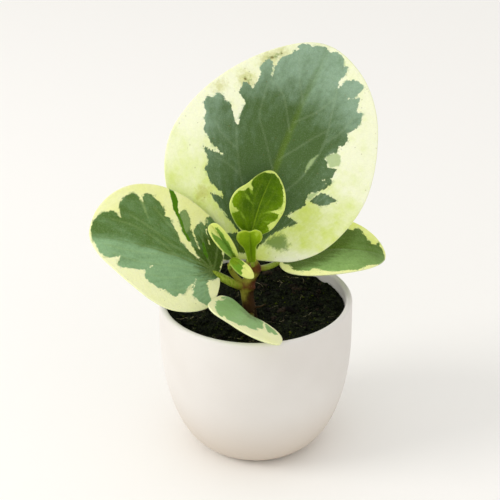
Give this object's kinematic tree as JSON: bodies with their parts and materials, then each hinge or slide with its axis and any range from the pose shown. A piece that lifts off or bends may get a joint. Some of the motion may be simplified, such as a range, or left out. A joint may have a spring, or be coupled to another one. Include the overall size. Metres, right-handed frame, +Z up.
{
  "type": "potted peperomia",
  "caption": "Small variegated peperomia with round fleshy leaves on short petioles, growing from dark soil in a round-bottomed white ceramic pot.",
  "frame": {"origin": "centre of the pot's flat underside", "axes": "+Z up along the pot's axis; the pictured front of the plant faces -Y, with +X to the right of it"},
  "size_m": [0.1205, 0.0937, 0.1668],
  "materials": {
    "pot": "matte white glaze, smooth, satin sheen at the lip",
    "soil": "rough peat and bark mix with moss specks and pale root fibres",
    "stem": "satin olive-brown skin, redder at the nodes",
    "leaf": "waxy satin leaf with a grey-green centre and an irregular cream margin",
    "young_leaf": "satin young leaf, bright green with a yellow-cream margin"
  },
  "bodies": {
    "root": {"pot": "pot", "soil": "soil", "stem": "stem", "leaf_back": "leaf", "leaf_left": "leaf", "leaf_right": "leaf", "leaf_front": "leaf", "leaf_young": "young_leaf", "leaf_bud": "young_leaf", "shoot_leaf_upper": "young_leaf", "shoot_leaf_lower": "young_leaf"}
  },
  "joints": []
}
